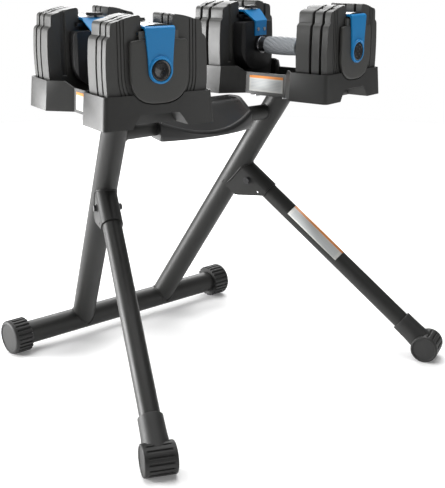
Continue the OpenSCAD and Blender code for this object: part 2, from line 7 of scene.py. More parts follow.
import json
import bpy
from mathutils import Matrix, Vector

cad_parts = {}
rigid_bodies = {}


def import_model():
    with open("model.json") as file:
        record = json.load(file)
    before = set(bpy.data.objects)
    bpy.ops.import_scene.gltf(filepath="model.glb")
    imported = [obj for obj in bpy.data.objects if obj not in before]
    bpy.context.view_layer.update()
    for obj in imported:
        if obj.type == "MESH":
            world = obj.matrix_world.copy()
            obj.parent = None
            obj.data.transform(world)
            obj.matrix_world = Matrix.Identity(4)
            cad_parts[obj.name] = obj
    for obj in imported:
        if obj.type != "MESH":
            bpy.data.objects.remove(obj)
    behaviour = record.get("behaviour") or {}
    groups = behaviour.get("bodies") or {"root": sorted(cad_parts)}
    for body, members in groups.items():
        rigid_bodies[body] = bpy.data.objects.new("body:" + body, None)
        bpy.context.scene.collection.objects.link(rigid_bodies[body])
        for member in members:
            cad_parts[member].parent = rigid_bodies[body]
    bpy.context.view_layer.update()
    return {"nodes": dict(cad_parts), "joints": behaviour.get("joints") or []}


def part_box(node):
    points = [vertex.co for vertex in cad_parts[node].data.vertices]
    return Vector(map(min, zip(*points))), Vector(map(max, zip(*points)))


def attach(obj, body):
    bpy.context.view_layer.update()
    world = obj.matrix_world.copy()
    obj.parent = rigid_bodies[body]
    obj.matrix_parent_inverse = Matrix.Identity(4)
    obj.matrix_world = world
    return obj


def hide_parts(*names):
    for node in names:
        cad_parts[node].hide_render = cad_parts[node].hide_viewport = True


bl_info = {
    "name": "Docked Dumbbell Pair",
    "version": (1, 0, 0),
    "blender": (4, 5, 0),
    "location": "3D View > Sidebar > Dumbbells",
    "description": "Surfaces, finishes, floor, lights and camera for a dumbbell pair on its stand",
    "category": "Object",
}

from math import cos, pi, radians, sin

import bmesh
import bpy
import numpy as np
from bpy.props import FloatProperty, FloatVectorProperty, IntProperty, PointerProperty
from mathutils import Vector

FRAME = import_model()
MM = 0.001
SIDES = ("left", "right")
HEADS = (("near", -1), ("far", 1))
SMOOTH_BELOW = radians(32)


# ---------- places taken from the frame ----------
def node_points(node):
    """Every vertex of a CAD node as an N x 3 array, in metres."""
    mesh = FRAME["nodes"][node].data
    co = np.zeros(len(mesh.vertices) * 3, np.float32)
    mesh.vertices.foreach_get("co", co)
    return co.reshape(-1, 3).astype(float)


def tray_axes(side):
    """Middle of a tray's underside, and its across, along and up directions as rows."""
    low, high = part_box(f"{side}_tray")
    slide = next(j for j in FRAME["joints"] if j["name"] == f"{side}_far_selector_slide")
    along = np.array(slide["axis"], float)
    across = np.array([along[1], -along[0], 0.0])
    middle = np.array([(low.x + high.x) / 2, (low.y + high.y) / 2, low.z])
    return middle, np.array([across, along, [0.0, 0.0, 1.0]])


def to_tray(points, side, head=1):
    """Row-frame points in metres to (across, along, up) in mm, as the far head has them."""
    middle, axes = tray_axes(side)
    local = (points - middle) @ axes.T / MM
    return local * np.array([head, head, 1.0])


def from_tray(points, side, head=1):
    """(across, along, up) in mm to row-frame metres. The near head is turned half round."""
    middle, axes = tray_axes(side)
    turned = np.asarray(points, float) * np.array([head, head, 1.0]) * MM
    return turned @ axes + middle


def span(node, side, head=1):
    """Lowest and highest (across, along, up) in mm of the part of a node at one head."""
    local = to_tray(node_points(node), side, head)
    local = local[local[:, 1] > 0]
    return local.min(0), local.max(0)


SHIELD_LOW, SHIELD_HIGH = span("left_end_shields", "left")
CAP_LOW, CAP_HIGH = span("left_end_caps", "left")
SCALE_LOW, SCALE_HIGH = span("left_scales", "left")
GRIP_LOW, GRIP_HIGH = span("left_grip", "left")
AXIS_Z = (CAP_LOW[2] + CAP_HIGH[2]) / 2
CAP_R = (CAP_HIGH[2] - CAP_LOW[2]) / 2
HEAD_HW = SHIELD_HIGH[0]
HEAD_TOP = AXIS_Z + 53.0  # top of an end shield beside its tongue
SHIELD_SQUARENESS = 2.7  # power of the superellipse below the axis
TONGUE_SPREAD = 14.0  # how far the tongue reaches past the scale on each side

# lines of the stand: angles in radians, places in metres
UPRIGHT_LEAN, UPRIGHT_SPLAY = radians(32), radians(18)
LEG_DROP, LEG_SPLAY = radians(39.5), radians(24.5)
UPRIGHT_FOOT_X = 0.115  # where an upright meets the rear bar
LEG_JOIN_UP = 0.426  # from there up the upright to its leg
LEG_RADIUS = 0.01905


# ---------- mesh helpers ----------
def new_piece(name, verts, faces, material, body, replaces=()):
    """A mesh piece in the row frame, closed, facing outwards, smooth below a set angle."""
    mesh = bpy.data.meshes.new(name)
    mesh.from_pydata(np.asarray(verts, float).tolist(), [], faces)
    bm = bmesh.new()
    bm.from_mesh(mesh)
    bmesh.ops.remove_doubles(bm, verts=bm.verts, dist=2e-6)
    bmesh.ops.recalc_face_normals(bm, faces=bm.faces)
    bm.to_mesh(mesh)
    bm.free()
    return dress(bpy.data.objects.new(name, mesh), material, body, replaces)


def dress(piece, material, body, replaces=()):
    """Links a piece, gives it its finish and the CAD body that it rides on."""
    bpy.context.scene.collection.objects.link(piece)
    piece.data.materials.clear()
    piece.data.materials.append(material)
    piece.data.shade_smooth()
    piece.data.set_sharp_from_angle(angle=SMOOTH_BELOW)
    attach(piece, body)
    if replaces:
        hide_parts(*replaces)
    return piece


def grid_faces(rows, cols, wrap_cols=True, wrap_rows=False, start=0):
    """Quads over a rows x cols grid of vertices numbered row by row from start."""
    r = np.arange(rows if wrap_rows else rows - 1)
    c = np.arange(cols if wrap_cols else cols - 1)
    rr, cc = np.meshgrid(r, c, indexing="ij")
    r2, c2 = (rr + 1) % rows, (cc + 1) % cols
    quads = np.stack([rr * cols + cc, rr * cols + c2, r2 * cols + c2, r2 * cols + cc], -1)
    return (quads.reshape(-1, 4) + start).tolist()


def end_faces(rows, cols, start=0):
    """The first and last rows of a grid closed with one flat face each."""
    first = [start + c for c in range(cols)][::-1]
    last = [start + (rows - 1) * cols + c for c in range(cols)]
    return [first, last]


def joined(parts):
    """Several (verts, faces) as one, each part's faces renumbered."""
    verts, faces, count = [], [], 0
    for v, f in parts:
        verts.append(np.asarray(v, float).reshape(-1, 3))
        faces += [[i + count for i in face] for face in f]
        count += len(verts[-1])
    return np.concatenate(verts), faces


def inset(outline, depth):
    """A closed outline (N x 2, counterclockwise) moved in by depth, with mitred corners."""
    edge = np.roll(outline, -1, 0) - outline
    edge /= np.linalg.norm(edge, axis=1)[:, None]
    normal = np.stack([edge[:, 1], -edge[:, 0]], 1)
    before = np.roll(normal, 1, 0)
    mitre = (normal + before) / (1 + (normal * before).sum(1))[:, None]
    return outline - mitre * depth


def rim_stations(start, end, radius, steps=4):
    """Stations of a slab whose two rims are quarter circles: (place along, inset) pairs."""
    t = np.linspace(0, pi / 2, steps + 1)
    near = np.stack([start + radius - radius * np.sin(t[::-1]), radius * (1 - np.cos(t[::-1]))], 1)
    far = np.stack([end - radius + radius * np.sin(t), radius * (1 - np.cos(t))], 1)
    return np.concatenate([near[:1] + [0, 0.4], near, far, far[-1:] + [0, 0.4]])


def sweep(path, section, up, closed=False):
    """A closed section carried along a path. Each section point (x, y) is put at
    path + x * side + y * up', where side = tangent x up and up' = side x tangent."""
    path = np.asarray(path, float)
    tangent = np.gradient(path, axis=0)
    if closed:
        tangent = np.roll(path, -1, 0) - np.roll(path, 1, 0)
    tangent /= np.linalg.norm(tangent, axis=1)[:, None]
    side = np.cross(tangent, np.broadcast_to(up, path.shape))
    side /= np.linalg.norm(side, axis=1)[:, None]
    lift = np.cross(side, tangent)
    section = np.asarray(section, float)
    verts = path[:, None] + section[None, :, :1] * side[:, None]
    verts = verts + section[None, :, 1:] * lift[:, None]
    rows, cols = verts.shape[:2]
    faces = grid_faces(rows, cols, wrap_rows=closed)
    if not closed:
        faces += end_faces(rows, cols)
    return verts.reshape(-1, 3), faces


def turned(profile, origin, axis, steps=64, wave=None):
    """A profile of (radius, place along the axis) turned about an axis. wave(angle, place)
    gives the radius to add at each point, and both ends close on the axis."""
    profile = np.asarray(profile, float)
    axis = np.asarray(axis, float) / np.linalg.norm(axis)
    side = np.cross(axis, [0.0, 0.0, 1.0] if abs(axis[2]) < 0.9 else [1.0, 0.0, 0.0])
    side /= np.linalg.norm(side)
    other = np.cross(axis, side)
    angle = np.linspace(0, 2 * pi, steps, endpoint=False)
    radius = np.repeat(profile[:, :1], steps, 1)
    if wave is not None:
        radius = radius + wave(angle[None, :], profile[:, 1:])
    ring = np.cos(angle)[:, None] * side + np.sin(angle)[:, None] * other
    verts = np.asarray(origin) + radius[..., None] * ring[None] + profile[:, 1][:, None, None] * axis
    rows = len(profile)
    return verts.reshape(-1, 3), grid_faces(rows, steps) + end_faces(rows, steps)


def rounded_copy(node, radius, material, body, segments=2, angle=38):
    """A merged copy of a CAD node with its sharp edges rounded, which stands for it."""
    mesh = FRAME["nodes"][node].data.copy()
    bm = bmesh.new()
    bm.from_mesh(mesh)
    bmesh.ops.remove_doubles(bm, verts=bm.verts, dist=1e-5)
    bmesh.ops.dissolve_limit(bm, angle_limit=radians(1), verts=bm.verts, edges=bm.edges)
    bm.to_mesh(mesh)
    bm.free()
    piece = dress(bpy.data.objects.new(node + "_shape", mesh), material, body, [node])
    bevel = piece.modifiers.new("Rounded edges", "BEVEL")
    bevel.width = radius * MM
    bevel.segments = segments
    bevel.limit_method = "ANGLE"
    bevel.angle_limit = radians(angle)
    bevel.use_clamp_overlap = True
    bevel.harden_normals = True
    return piece


# ---------- finishes ----------
def rgb(label, value, note):
    """A colour property with its default in linear light."""
    return FloatVectorProperty(name=label, description=note, default=value, subtype="COLOR", min=0, max=1)


def length(label, value, note):
    """A small length property in millimetres."""
    return FloatProperty(name=label, description=note, default=value, min=0.0, unit="NONE")


class FinishColours(bpy.types.PropertyGroup):
    """Base colours of the object's finishes."""

    charcoal_tube: rgb("Tubes", (0.015, 0.015, 0.0142), "Powder coat on the stand's steel")
    rubber_feet: rgb("Rubber", (0.012, 0.012, 0.0115), "Feet and rear caps")
    tray_plastic: rgb("Trays", (0.017, 0.017, 0.016), "Moulded trays")
    panel_plastic: rgb("Centre panel", (0.014, 0.014, 0.014), "Shroud on the crossbar")
    plate_iron: rgb("Plates", (0.040, 0.040, 0.038), "Skin of the weight plates")
    shield_grey: rgb("End shields", (0.044, 0.044, 0.041), "Outer faces of the heads")
    housing_black: rgb("Housings", (0.008, 0.008, 0.0085), "Inner housings of the heads")
    bridge_blue: rgb("Bridges", (0.0035, 0.205, 0.500), "Strip over each head")
    cap_black: rgb("End caps", (0.005, 0.005, 0.006), "Round caps")
    grip_grey: rgb("Grip", (0.185, 0.198, 0.210), "Hand grip")
    collar_black: rgb("Collars and slides", (0.009, 0.009, 0.010), "Collars and selector slides")
    steel_bright: rgb("Bright steel", (0.60, 0.60, 0.61), "Bar and rings")
    screw_steel: rgb("Screws", (0.42, 0.42, 0.43), "Zinc-plated screws")
    bolt_black: rgb("Bolts", (0.012, 0.012, 0.013), "Leg bolts")
    scale_white: rgb("Scales", (0.66, 0.66, 0.64), "Arched scales")
    label_white: rgb("Labels", (0.52, 0.52, 0.50), "Ground of the labels")
    label_orange: rgb("Label band", (0.66, 0.24, 0.06), "Band along a label's edge")


class ShapeSizes(bpy.types.PropertyGroup):
    """Sizes of the details that the frame doesn't fix, in millimetres."""

    plate_edge: length("Plate edge", 1.5, "Radius of the plates' edges")
    tray_edge: length("Tray edge", 1.0, "Radius of the trays' edges")
    shield_edge: length("Shield edge", 2.4, "Radius of the end shields' rims")
    panel_edge: length("Panel edge", 2.5, "Radius of the centre panel's edges")
    bead: length("Weld bead", 2.2, "Radius of the weld beads")
    grip_ridges: IntProperty(name="Grip ridges", description="Ridges round the grip", default=13, min=4, max=24)
    grip_twist: FloatProperty(
        name="Grip twist", description="Turn of a ridge along the grip", default=1.15, subtype="ANGLE"
    )


# The tone group gives random tone drift and also a painted highlight on convex edges.
GRAIN_GROUP, TONE_AND_HIGHLIGHT_GROUP, BRUSH_GROUP = "Fine grain", "Tone drift", "Brushed lines"


def node_group(name, inputs, outputs):
    """An empty shader group with its sockets, and its input and output nodes."""
    tree = bpy.data.node_groups.new(name, "ShaderNodeTree")
    for label, kind, value in inputs:
        socket = tree.interface.new_socket(label, in_out="INPUT", socket_type="NodeSocket" + kind)
        if value is not None:
            socket.default_value = value
    for label, kind in outputs:
        tree.interface.new_socket(label, in_out="OUTPUT", socket_type="NodeSocket" + kind)
    return tree, tree.nodes.new("NodeGroupInput"), tree.nodes.new("NodeGroupOutput")


def add(tree, kind, links=(), **values):
    """A node with some sockets linked or set: (input name or index, output socket or value)."""
    node = tree.nodes.new(kind)
    for key, value in values.items():
        setattr(node, key, value)
    for key, value in links:
        if isinstance(value, bpy.types.NodeSocket):
            tree.links.new(value, node.inputs[key])
        else:
            node.inputs[key].default_value = value
    return node


def math(tree, operation, a, b=0.0):
    """One Math node's output."""
    return add(tree, "ShaderNodeMath", [(0, a), (1, b)], operation=operation).outputs[0]


def make_grain_group():
    """Moulded or sprayed texture: two sizes of noise turned into a bump."""
    tree, start, end = node_group(
        GRAIN_GROUP,
        [("Vector", "Vector", None), ("Grain", "Float", 0.6), ("Height", "Float", 0.05)],
        [("Normal", "Vector")],
    )
    scale = math(tree, "DIVIDE", 1000.0, start.outputs["Grain"])
    fine = add(tree, "ShaderNodeTexNoise", [("Vector", start.outputs["Vector"]), ("Scale", scale), ("Detail", 3.0)])
    coarse = add(
        tree,
        "ShaderNodeTexNoise",
        [("Vector", start.outputs["Vector"]), ("Scale", math(tree, "MULTIPLY", scale, 0.21)), ("Detail", 2.0)],
    )
    height = math(tree, "MULTIPLY_ADD", coarse.outputs["Fac"], 1.4)
    tree.links.new(fine.outputs["Fac"], height.node.inputs[2])
    bump = add(
        tree,
        "ShaderNodeBump",
        [("Height", height), ("Distance", math(tree, "MULTIPLY", start.outputs["Height"], MM)), ("Strength", 1.0)],
    )
    tree.links.new(bump.outputs["Normal"], end.inputs["Normal"])


def make_tone_and_highlight_group():
    """Slow drift of tone and gloss over a surface, with a painted highlight that makes convex edges lighter."""
    tree, start, end = node_group(
        TONE_AND_HIGHLIGHT_GROUP,
        [
            ("Vector", "Vector", None),
            ("Colour", "Color", (0.1, 0.1, 0.1, 1)),
            ("Patch", "Float", 60.0),
            ("Drift", "Float", 0.15),
            ("Edge", "Float", 0.3),
            ("Roughness", "Float", 0.5),
        ],
        [("Colour", "Color"), ("Roughness", "Float")],
    )
    scale = math(tree, "DIVIDE", 1000.0, start.outputs["Patch"])
    cloud = add(tree, "ShaderNodeTexNoise", [("Vector", start.outputs["Vector"]), ("Scale", scale), ("Detail", 4.0)])
    speck = add(
        tree,
        "ShaderNodeTexNoise",
        [("Vector", start.outputs["Vector"]), ("Scale", math(tree, "MULTIPLY", scale, 24.0)), ("Detail", 2.0)],
    )
    both = math(tree, "MULTIPLY_ADD", speck.outputs["Fac"], 0.5)
    tree.links.new(cloud.outputs["Fac"], both.node.inputs[2])
    centred = math(tree, "SUBTRACT", both, 0.75)
    shift = math(tree, "MULTIPLY", centred, start.outputs["Drift"])
    gain = math(tree, "MULTIPLY_ADD", shift, 2.0)
    gain.node.inputs[2].default_value = 1.0
    toned = add(
        tree, "ShaderNodeVectorMath", [(0, start.outputs["Colour"]), ("Scale", gain)], operation="SCALE"
    )
    # Painted highlight: convex edges, found by pointiness, are mixed towards a colour 2.4 times lighter. The edge input
    # sets how far.
    painted_edge_highlight_mask = add(
        tree,
        "ShaderNodeMapRange",
        [
            ("Value", add(tree, "ShaderNodeNewGeometry").outputs["Pointiness"]),
            ("From Min", 0.53),
            ("From Max", 0.66),
        ],
    )
    edge = math(tree, "MULTIPLY", painted_edge_highlight_mask.outputs[0], start.outputs["Edge"])
    painted_highlight_colour = add(
        tree, "ShaderNodeVectorMath", [(0, toned.outputs[0]), ("Scale", 2.4)], operation="SCALE"
    )
    mixed = add(tree, "ShaderNodeMix", [("Factor", edge)], data_type="RGBA")
    tree.links.new(toned.outputs[0], mixed.inputs["A"])
    tree.links.new(painted_highlight_colour.outputs[0], mixed.inputs["B"])
    tree.links.new(mixed.outputs["Result"], end.inputs["Colour"])
    rough = math(tree, "MULTIPLY_ADD", centred, 0.25)
    tree.links.new(start.outputs["Roughness"], rough.node.inputs[2])
    tree.links.new(rough, end.inputs["Roughness"])


def make_brush_group():
    """Fine lines round a bar: noise stretched along one direction."""
    tree, start, end = node_group(
        BRUSH_GROUP,
        [("Vector", "Vector", None), ("Lines", "Float", 1500.0), ("Depth", "Float", 0.01)],
        [("Mask", "Float"), ("Normal", "Vector")],
    )
    stretch = add(
        tree, "ShaderNodeVectorMath", [(0, start.outputs["Vector"]), (1, (0.02, 1.0, 0.02))], operation="MULTIPLY"
    )
    lines = add(
        tree, "ShaderNodeTexNoise", [("Vector", stretch.outputs[0]), ("Scale", start.outputs["Lines"]), ("Detail", 3.0)]
    )
    bump = add(
        tree,
        "ShaderNodeBump",
        [("Height", lines.outputs["Fac"]), ("Distance", math(tree, "MULTIPLY", start.outputs["Depth"], MM))],
    )
    tree.links.new(lines.outputs["Fac"], end.inputs["Mask"])
    tree.links.new(bump.outputs["Normal"], end.inputs["Normal"])


def group_node(tree, name, links):
    """A placed group with its sockets linked or set."""
    node = tree.nodes.new("ShaderNodeGroup")
    node.node_tree = bpy.data.node_groups[name]
    for key, value in links:
        if isinstance(value, bpy.types.NodeSocket):
            tree.links.new(value, node.inputs[key])
        else:
            node.inputs[key].default_value = value
    return node


def new_material(name):
    """A fresh material's tree, its Principled shader and its Object coordinates."""
    material = bpy.data.materials.new(name)
    material.use_nodes = True
    tree = material.node_tree
    shader = tree.nodes["Principled BSDF"]
    return material, tree, shader, add(tree, "ShaderNodeTexCoord")


def coated(
    name, colour, roughness, grain, height, patch=60.0, drift=0.15, edge=0.3, coat=0.0, coat_rough=0.1, shine=0.5
):
    """A painted, moulded or rubber finish: drifting tone, a painted highlight on convex edges (strength edge) and a
    grained surface.
    """
    material, tree, shader, place = new_material(name)
    # The tone group also paints a highlight on convex edges, as strong as edge.
    tone = group_node(
        tree,
        TONE_AND_HIGHLIGHT_GROUP,
        [
            ("Vector", place.outputs["Object"]),
            ("Colour", (*colour, 1.0)),
            ("Patch", patch),
            ("Drift", drift),
            ("Edge", edge),
            ("Roughness", roughness),
        ],
    )
    skin = group_node(
        tree, GRAIN_GROUP, [("Vector", place.outputs["Object"]), ("Grain", grain), ("Height", height)]
    )
    tree.links.new(tone.outputs["Colour"], shader.inputs["Base Color"])
    tree.links.new(tone.outputs["Roughness"], shader.inputs["Roughness"])
    tree.links.new(skin.outputs["Normal"], shader.inputs["Normal"])
    shader.inputs["Specular IOR Level"].default_value = shine
    shader.inputs["Coat Weight"].default_value = coat
    shader.inputs["Coat Roughness"].default_value = coat_rough
    return material


def steel(name, colour, roughness, lines):
    """Bare or plated steel with fine lines round it."""
    material, tree, shader, place = new_material(name)
    brush = group_node(
        tree, BRUSH_GROUP, [("Vector", place.outputs["Object"]), ("Lines", lines), ("Depth", 0.01)]
    )
    # The tone group also paints a faint highlight on convex edges.
    tone = group_node(
        tree,
        TONE_AND_HIGHLIGHT_GROUP,
        [
            ("Vector", place.outputs["Object"]),
            ("Colour", (*colour, 1.0)),
            ("Patch", 20.0),
            ("Drift", 0.12),
            ("Edge", 0.1),
            ("Roughness", roughness),
        ],
    )
    rough = math(tree, "MULTIPLY_ADD", brush.outputs["Mask"], 0.15)
    tree.links.new(tone.outputs["Roughness"], rough.node.inputs[2])
    tree.links.new(tone.outputs["Colour"], shader.inputs["Base Color"])
    tree.links.new(rough, shader.inputs["Roughness"])
    tree.links.new(brush.outputs["Normal"], shader.inputs["Normal"])
    shader.inputs["Metallic"].default_value = 1.0
    return material


def printed(name, ground, band):
    """A printed film: a coloured band along its top and faint blank rules below it. The
    piece's UV map runs from 0 to 1 across the label, and v is 1 at the band."""
    material, tree, shader, place = new_material(name)
    split = add(tree, "ShaderNodeSeparateXYZ", [("Vector", place.outputs["UV"])])
    u, v = split.outputs["X"], split.outputs["Y"]
    in_band = math(tree, "GREATER_THAN", v, 0.84)
    rule = math(tree, "GREATER_THAN", math(tree, "FRACT", math(tree, "MULTIPLY", v, 11.0)), 0.5)
    below = math(tree, "LESS_THAN", v, 0.78)
    above = math(tree, "GREATER_THAN", v, 0.08)
    inner = math(tree, "LESS_THAN", math(tree, "ABSOLUTE", math(tree, "SUBTRACT", u, 0.5)), 0.45)
    mask = math(tree, "MULTIPLY", math(tree, "MULTIPLY", rule, below), math(tree, "MULTIPLY", above, inner))
    faint = math(tree, "MULTIPLY", mask, 0.6)
    ruled = add(tree, "ShaderNodeMix", [("Factor", faint)], data_type="RGBA")
    ruled.inputs["A"].default_value = (*ground, 1.0)
    ruled.inputs["B"].default_value = (0.30, 0.34, 0.38, 1.0)
    full = add(tree, "ShaderNodeMix", [("Factor", in_band)], data_type="RGBA")
    tree.links.new(ruled.outputs["Result"], full.inputs["A"])
    full.inputs["B"].default_value = (*band, 1.0)
    tree.links.new(full.outputs["Result"], shader.inputs["Base Color"])
    skin = group_node(
        tree, GRAIN_GROUP, [("Vector", place.outputs["Object"]), ("Grain", 1.2), ("Height", 0.01)]
    )
    tree.links.new(skin.outputs["Normal"], shader.inputs["Normal"])
    shader.inputs["Roughness"].default_value = 0.62
    shader.inputs["Specular IOR Level"].default_value = 0.3
    return material


# finish: roughness, grain size and height in mm, then the other values of coated(); edge is the strength of the painted
# highlight on convex edges
COATED = {
    "charcoal_tube": dict(roughness=0.46, grain=1.1, height=0.020, drift=0.08, edge=0.15, shine=0.33),
    "rubber_feet": dict(roughness=0.58, grain=0.7, height=0.03, drift=0.2, edge=0.35),
    "tray_plastic": dict(roughness=0.47, grain=0.55, height=0.030, drift=0.10, edge=0.45),
    "panel_plastic": dict(roughness=0.34, grain=0.55, height=0.018, drift=0.10, edge=0.20, coat=0.15, coat_rough=0.15),
    "plate_iron": dict(roughness=0.48, grain=0.50, height=0.030, drift=0.10, edge=0.45),
    "shield_grey": dict(roughness=0.52, grain=0.50, height=0.030, drift=0.08, edge=0.50),
    "housing_black": dict(roughness=0.42, grain=0.5, height=0.02, drift=0.15, edge=0.5),
    "bridge_blue": dict(roughness=0.45, grain=1.5, height=0.002, drift=0.05, edge=0.35, coat=0.06, coat_rough=0.2),
    "cap_black": dict(roughness=0.16, grain=1.5, height=0.005, drift=0.1, edge=0.4, coat=0.5, coat_rough=0.06),
    "grip_grey": dict(roughness=0.60, grain=0.45, height=0.03, drift=0.10, edge=0.2),
    "collar_black": dict(roughness=0.40, grain=0.6, height=0.015, drift=0.15, edge=0.5),
    "bolt_black": dict(roughness=0.38, grain=0.6, height=0.02, drift=0.2, edge=0.8),
    "scale_white": dict(roughness=0.35, grain=0.9, height=0.01, drift=0.05, edge=0.0, coat=0.3),
}
FINISH = {}


def make_finishes(colours):
    """Every finish, by the record's slot name."""
    make_grain_group()
    make_tone_and_highlight_group()
    make_brush_group()
    for slot, values in COATED.items():
        FINISH[slot] = coated(slot, tuple(getattr(colours, slot)), **values)
    FINISH["steel_bright"] = steel("steel_bright", tuple(colours.steel_bright), 0.16, 1500.0)
    FINISH["screw_steel"] = steel("screw_steel", tuple(colours.screw_steel), 0.30, 900.0)
    FINISH["label_white"] = printed("label_white", tuple(colours.label_white), tuple(colours.label_orange))


# ---------- outlines in the (across, up) plane, in mm ----------
def mirrored(half):
    """A right half from its lowest middle point to its highest, closed with its mirror."""
    left = half[::-1][1:-1] * [-1, 1]
    return np.concatenate([half, left])


def head_outline():
    """Outline of an end shield: a superellipse below the axis, upright sides, an arched top."""
    width = HEAD_HW
    depth = AXIS_Z - SHIELD_LOW[2]
    t = np.linspace(pi / 2, 0, 26)
    power = 2 / SHIELD_SQUARENESS
    lower = np.stack([width * np.cos(t) ** power, AXIS_Z - depth * np.sin(t) ** power], 1)
    lower[0, 0] = 0.0
    side_top = HEAD_TOP - 9
    corner = np.array([[width - 0.6, side_top], [width - 1.6, side_top + 3.6], [width - 5, side_top + 6.2]])
    s = np.linspace(0.12, 1, 8)
    arch = np.stack([(width - 5) * (1 - s), side_top + 6.2 + 2.8 * (1 - (1 - s) ** 2)], 1)
    arch[-1, 0] = 0.0
    return mirrored(np.concatenate([lower, corner, arch]))


# ---------- dumbbell pieces ----------
def make_head(side, head, sign, shapes):
    """End shield with its tongue, round cap, the cap's ring, and the arched scale."""
    body = f"{side}_handle"
    label = f"{side}_{head}"
    outline = head_outline()
    middle = np.array([0.0, AXIS_Z])
    back, front = SHIELD_LOW[1], SHIELD_HIGH[1] - 0.6
    stations = rim_stations(back, front, shapes.shield_edge)[:-1]
    rows = [np.insert(inset(outline, d), 1, a, axis=1) for a, d in stations]
    shares = np.array([0.93, 0.85, 0.72, 0.55, 0.35, 0.15])
    crown = 0.6 * (1 - shares**2)
    inner = inset(outline, shapes.shield_edge)
    rows += [np.insert(middle + (inner - middle) * k, 1, front + c, axis=1) for k, c in zip(shares, crown)]
    count = len(outline)
    faces = grid_faces(len(rows), count) + end_faces(len(rows), count)
    half, lip = SCALE_HIGH[0] + TONGUE_SPREAD, SHIELD_HIGH[1] - 3
    low, high = HEAD_TOP - 6, SHIELD_HIGH[2] - 1
    plan = np.array([[-half, back], [half, back], [half, lip], [-half, lip]])
    tongue = np.concatenate([np.insert(plan, 2, up, axis=1) for up in (low, high)])
    verts, faces = joined([(np.concatenate(rows), faces), (tongue, grid_faces(2, 4) + end_faces(2, 4))])
    verts = from_tray(verts, side, sign)
    new_piece(f"{label}_end_shield", verts, faces, FINISH["shield_grey"], body)

    axis = from_tray([[0, 1, 0]], side, sign)[0] - from_tray([[0, 0, 0]], side, sign)[0]
    centre = from_tray([[0, 0, AXIS_Z]], side, sign)[0]
    face = CAP_HIGH[1]
    t = np.linspace(0, pi / 2, 6)
    rim = np.stack([CAP_R - 0.2 - 1.6 * (1 - np.cos(t)), face - 1.6 + 1.6 * np.sin(t)], 1)
    grooves = np.array(
        [[13.6, face], [13.2, face - 0.5], [12.4, face - 0.5], [12.0, face], [6.6, face - 0.3],
         [6.2, face - 0.9], [1.6, face - 1.1], [1.2, face - 0.6], [0.02, face - 0.5]]
    )
    profile = np.concatenate([[[0.02, face - 4], [CAP_R - 0.2, face - 4]], rim, grooves]) * MM
    verts, faces = turned(profile, centre, axis, 72)
    new_piece(f"{label}_cap", verts, faces, FINISH["cap_black"], body)

    # ring round the cap, drawn out into a hood above it
    angle = np.linspace(0, 2 * pi, 96, endpoint=False)
    crown = np.clip(np.sin(angle), 0, 1) ** 2
    outer = CAP_R + 3.6 + 3.0 * crown
    inner_r = CAP_R + 0.15
    s = np.linspace(0, pi, 7)
    share = (1 - np.cos(s)) / 2
    radius = inner_r + (outer[None, :] - inner_r) * share[:, None]
    rise = face - 0.9 + (1.3 + 2.6 * crown[None, :]) * np.sin(s)[:, None]
    ring = np.stack([radius * np.cos(angle), rise, AXIS_Z + radius * np.sin(angle)], -1)
    base = ring[::-1].copy()
    base[..., 1] = face - 2.2
    both = np.concatenate([ring, base[[0, -1]]])
    faces = grid_faces(len(both), len(angle), wrap_rows=True)
    verts = from_tray(both.reshape(-1, 3), side, sign)
    new_piece(f"{label}_cap_ring", verts, faces, FINISH["bridge_blue"], body)
    make_scale(side, label, sign, body)


def make_scale(side, label, sign, body):
    """Arched scale on the bridge, slit along its middle for the slide, with ticks and a lip."""
    half, low, high = SCALE_HIGH[0], SCALE_LOW[2], SCALE_HIGH[2]
    slit = 3.7
    start, end = SCALE_LOW[1], SCALE_HIGH[1]

    def height(across):
        """Top of the arch: highest in the middle and 1.7 mm lower at its edges."""
        return high - 1.7 * (across / half) ** 2

    def strip(inner, outer, begin, stop):
        """One closed strip of the arch between two places across."""
        across = np.linspace(inner, outer, 8)
        top = np.stack([across, height(across)], 1)
        base = np.array([[outer, low], [inner, low]])
        section = np.concatenate([top, base])
        rows = np.stack([np.insert(section, 1, a, axis=1) for a in (begin, stop)])
        return rows.reshape(-1, 3), grid_faces(2, len(section)) + end_faces(2, len(section))

    parts = [strip(slit, half, start, end), strip(-half, -slit, start, end), strip(-slit, slit, end - 3.0, end)]
    verts, faces = joined(parts)
    verts = from_tray(verts, side, sign)
    new_piece(f"{label}_scale", verts, faces, FINISH["scale_white"], body)
    verts, faces = strip(-half - 0.8, half + 0.8, end, end + 1.4)
    verts = from_tray(verts + np.array([0.0, 0.0, 0.35]), side, sign)
    new_piece(f"{label}_scale_lip", verts, faces, FINISH["collar_black"], body)

    ticks = []
    for stop in np.linspace(start + 8, end - 14, 10):
        for inner, outer in ((slit + 6, slit + 12), (-slit - 12, -slit - 6)):
            across = np.linspace(inner, outer, 4)
            top = np.stack([across, height(across) + 0.12], 1)
            section = np.concatenate([top, np.stack([across[::-1], height(across[::-1]) - 0.6], 1)])
            rows = np.stack([np.insert(section, 1, a, axis=1) for a in (stop - 0.5, stop + 0.5)])
            ticks.append((rows.reshape(-1, 3), grid_faces(2, 8) + end_faces(2, 8)))
    verts, faces = joined(ticks)
    verts = from_tray(verts, side, sign)
    new_piece(f"{label}_scale_ticks", verts, faces, FINISH["collar_black"], body)


